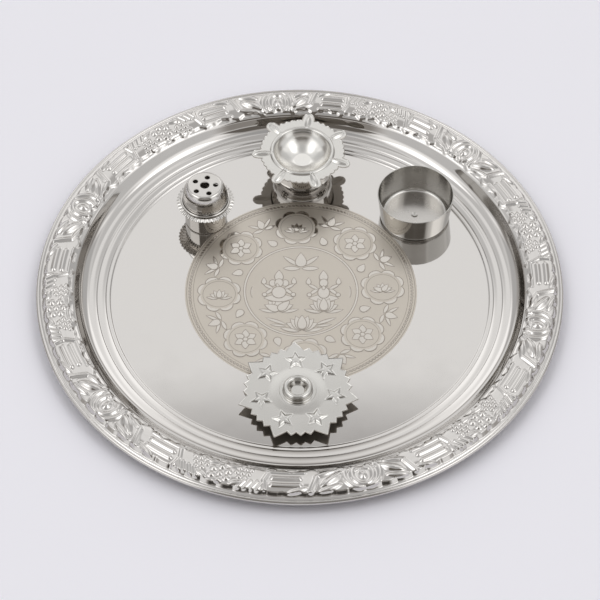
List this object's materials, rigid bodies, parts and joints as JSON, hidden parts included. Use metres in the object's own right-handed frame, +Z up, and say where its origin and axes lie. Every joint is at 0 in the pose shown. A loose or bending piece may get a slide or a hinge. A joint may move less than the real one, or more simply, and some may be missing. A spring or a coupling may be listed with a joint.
{
  "type": "puja thali",
  "caption": "Round polished steel puja thali with an embossed rim, carrying a petalled oil lamp, a star-shaped stand, a lidded incense pot and a small cup.",
  "frame": {"origin": "on the table under the middle of the tray", "axes": "+Z up along the tray's axis, -Y towards the user, +X to the user's right"},
  "size_m": [0.3, 0.3, 0.0309],
  "materials": {
    "tray_steel": "polished stainless steel",
    "vessel_steel": "polished stainless steel"
  },
  "bodies": {
    "tray": {"tray": "tray_steel"},
    "diya": {"diya_stand": "vessel_steel", "diya_plate": "vessel_steel"},
    "star_stand": {"star_foot": "vessel_steel", "star_plate": "vessel_steel", "star_socket": "vessel_steel"},
    "pot": {"pot_cup": "vessel_steel"},
    "lid": {"pot_lid": "vessel_steel"},
    "katori": {"katori": "vessel_steel"}
  },
  "joints": [
    {"name": "diya_lift", "type": "slide", "parent": "tray", "child": "diya", "axis": [0, 0, 1], "range_m": [0, 0.06]},
    {"name": "star_stand_lift", "type": "slide", "parent": "tray", "child": "star_stand", "axis": [0, 0, 1], "range_m": [0, 0.05]},
    {"name": "pot_lift", "type": "slide", "parent": "tray", "child": "pot", "axis": [0, 0, 1], "range_m": [0, 0.05]},
    {"name": "lid_lift", "type": "slide", "parent": "pot", "child": "lid", "axis": [0, 0, 1], "range_m": [0, 0.03]},
    {"name": "katori_lift", "type": "slide", "parent": "tray", "child": "katori", "axis": [0, 0, 1], "range_m": [0, 0.06]}
  ]
}
